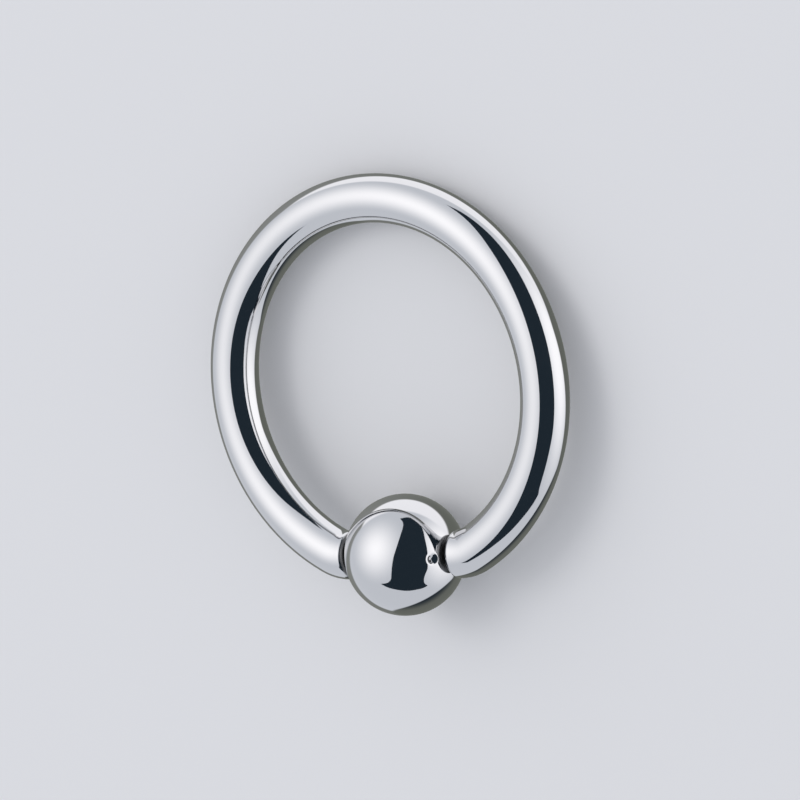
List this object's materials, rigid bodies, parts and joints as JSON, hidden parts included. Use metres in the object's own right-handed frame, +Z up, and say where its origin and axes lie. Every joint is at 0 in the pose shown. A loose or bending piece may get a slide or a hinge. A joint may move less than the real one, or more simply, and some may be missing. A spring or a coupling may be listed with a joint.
{
  "type": "captive bead piercing ring",
  "caption": "Captive bead piercing ring: an open hoop of polished round steel wire whose ends grip a steel ball that can turn between them.",
  "frame": {"origin": "middle of the part's outline seen from above, on the surface that it lies on", "axes": "+Z up from the surface, +Y from the ball to the far side of the hoop, X along the line through the two wire ends"},
  "size_m": [0.0104, 0.0108, 0.003],
  "materials": {
    "wire_steel": "mirror-polished surgical steel",
    "bead_steel": "mirror-polished surgical steel"
  },
  "bodies": {
    "ring": {"ring": "wire_steel"},
    "bead": {"bead": "bead_steel"}
  },
  "joints": [
    {"name": "bead_turn", "type": "hinge", "parent": "ring", "child": "bead", "pos_m": [0, -0.00393, 0.0015], "axis": [1, 0, 0], "continuous": true}
  ]
}
